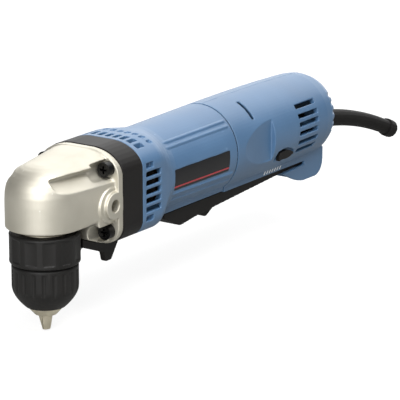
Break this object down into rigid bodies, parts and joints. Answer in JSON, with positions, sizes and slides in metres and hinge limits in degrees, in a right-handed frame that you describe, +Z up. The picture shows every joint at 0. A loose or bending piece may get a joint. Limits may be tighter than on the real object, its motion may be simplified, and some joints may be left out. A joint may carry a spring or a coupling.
{
  "type": "right angle drill",
  "caption": "Corded right angle drill with a cast angle head, keyless chuck, barrel grip motor housing, paddle switch with lock lever, reversing lever and curved cord guard.",
  "frame": {"origin": "tip of the closed chuck jaws on the spindle axis", "axes": "+Z up the spindle from the jaw tips to the gear head, +X back along the motor to the cord guard, -Y the side with the reversing lever"},
  "size_m": [0.3741, 0.0534, 0.0935],
  "materials": {
    "cast_aluminium": "satin, fine cast grain",
    "blue_plastic": "satin moulded",
    "black_plastic": "satin moulded",
    "black_rubber": "matte",
    "bright_steel": "machined",
    "dark_steel": "oiled",
    "copper": "enamelled winding wire and bare segments",
    "brass": "sintered and pressed",
    "carbon": "pressed graphite",
    "clear_lens": "clear",
    "circuit_board": "lacquered"
  },
  "bodies": {
    "housing": {"gear_head": "cast_aluminium", "head_screws": "dark_steel", "spindle_bearing_outer": "bright_steel", "bearing_retainer": "dark_steel", "spindle_seal": "black_rubber", "spindle_bush": "brass", "pinion_bearing_outer": "bright_steel", "pinion_bush": "brass", "motor_bracket": "black_plastic", "motor_housing": "blue_plastic", "nameplate": "black_plastic", "baffle_plate": "black_plastic", "front_bearing_outer": "bright_steel", "rear_bearing_outer": "bright_steel", "field_core": "dark_steel", "field_coils": "copper", "brush_holders": "brass", "carbon_brushes": "carbon", "rear_bearing_plate": "black_plastic", "rear_cover_right": "blue_plastic", "rear_cover_left": "blue_plastic", "cover_screws": "dark_steel", "switch_body": "black_plastic", "plunger_spring": "bright_steel", "capacitor": "black_plastic", "cord_clamp": "black_plastic", "clamp_screws": "dark_steel", "cord_guard": "black_rubber", "paddle_pin": "bright_steel", "lamp_housing": "black_plastic", "lamp_lens": "clear_lens", "lamp_board": "circuit_board"},
    "spindle": {"spindle": "bright_steel", "bevel_gear": "dark_steel", "spindle_bearing_inner": "bright_steel", "chuck_body": "bright_steel", "chuck_rear_sleeve": "black_plastic", "chuck_screw": "dark_steel"},
    "chuck_sleeve": {"chuck_front_sleeve": "black_plastic", "chuck_nut": "bright_steel"},
    "jaw_1": {"jaw_1": "bright_steel"},
    "jaw_2": {"jaw_2": "bright_steel"},
    "jaw_3": {"jaw_3": "bright_steel"},
    "pinion_shaft": {"bevel_pinion_shaft": "dark_steel", "drive_gear": "dark_steel", "pinion_bearing_inner": "bright_steel"},
    "armature": {"armature_shaft": "bright_steel", "armature_core": "dark_steel", "armature_windings": "copper", "commutator": "copper", "fan": "black_plastic", "front_bearing_inner": "bright_steel", "rear_bearing_inner": "bright_steel"},
    "paddle": {"paddle": "black_plastic", "lock_pin": "bright_steel"},
    "lock_lever": {"lock_lever": "black_plastic"},
    "switch_plunger": {"switch_plunger": "bright_steel"},
    "reversing_lever": {"reversing_lever": "black_plastic"}
  },
  "joints": [
    {"name": "armature_spin", "type": "hinge", "parent": "housing", "child": "armature", "pos_m": [0.1, 0, 0.0675], "axis": [1, 0, 0], "continuous": true},
    {"name": "pinion_shaft_spin", "type": "hinge", "parent": "housing", "child": "pinion_shaft", "pos_m": [0.02, 0, 0.07835], "axis": [1, 0, 0], "continuous": true},
    {"name": "spindle_spin", "type": "hinge", "parent": "housing", "child": "spindle", "pos_m": [0, 0, 0.06], "axis": [0, 0, 1], "continuous": true},
    {"name": "chuck_sleeve_turn", "type": "hinge", "parent": "spindle", "child": "chuck_sleeve", "pos_m": [0, 0, 0.024], "axis": [0, 0, 1], "range_deg": [0, 2880]},
    {"name": "jaw_1_slide", "type": "slide", "parent": "spindle", "child": "jaw_1", "axis": [0.2588, 0, 0.9659], "range_m": [0, 0.01651]},
    {"name": "jaw_2_slide", "type": "slide", "parent": "spindle", "child": "jaw_2", "axis": [-0.1294, 0.2241, 0.9659], "range_m": [0, 0.01651]},
    {"name": "jaw_3_slide", "type": "slide", "parent": "spindle", "child": "jaw_3", "axis": [-0.1294, -0.2241, 0.9659], "range_m": [0, 0.01651]},
    {"name": "paddle_press", "type": "hinge", "parent": "housing", "child": "paddle", "pos_m": [0.2384, 0, 0.0452], "axis": [0, 1, 0], "range_deg": [0, 1.4], "stiffness_Nm_per_rad": 8, "springref_deg": -1.15},
    {"name": "lock_lever_push", "type": "hinge", "parent": "paddle", "child": "lock_lever", "pos_m": [0.1401, 0, 0.0369], "axis": [0, 1, 0], "range_deg": [0, 25], "stiffness_Nm_per_rad": 0.05, "springref_deg": -11.46},
    {"name": "switch_plunger_lift", "type": "slide", "parent": "housing", "child": "switch_plunger", "axis": [0, 0, 1], "range_m": [0, 0.00146], "deforming": ["plunger_spring"]},
    {"name": "reversing_lever_tilt", "type": "hinge", "parent": "housing", "child": "reversing_lever", "pos_m": [0.195, -0.015, 0.0563], "axis": [0, 1, 0], "range_deg": [-9, 9]}
  ],
  "couplings": [
    {"joint": "pinion_shaft_spin", "follows": "armature_spin", "ratio": -0.29167},
    {"joint": "spindle_spin", "follows": "armature_spin", "ratio": -0.10694},
    {"joint": "switch_plunger_lift", "follows": "paddle_press", "m_per_rad": 0.0594},
    {"joint": "jaw_1_slide", "follows": "chuck_sleeve_turn", "m_per_rad": 0.00032826},
    {"joint": "jaw_2_slide", "follows": "chuck_sleeve_turn", "m_per_rad": 0.00032826},
    {"joint": "jaw_3_slide", "follows": "chuck_sleeve_turn", "m_per_rad": 0.00032826}
  ]
}
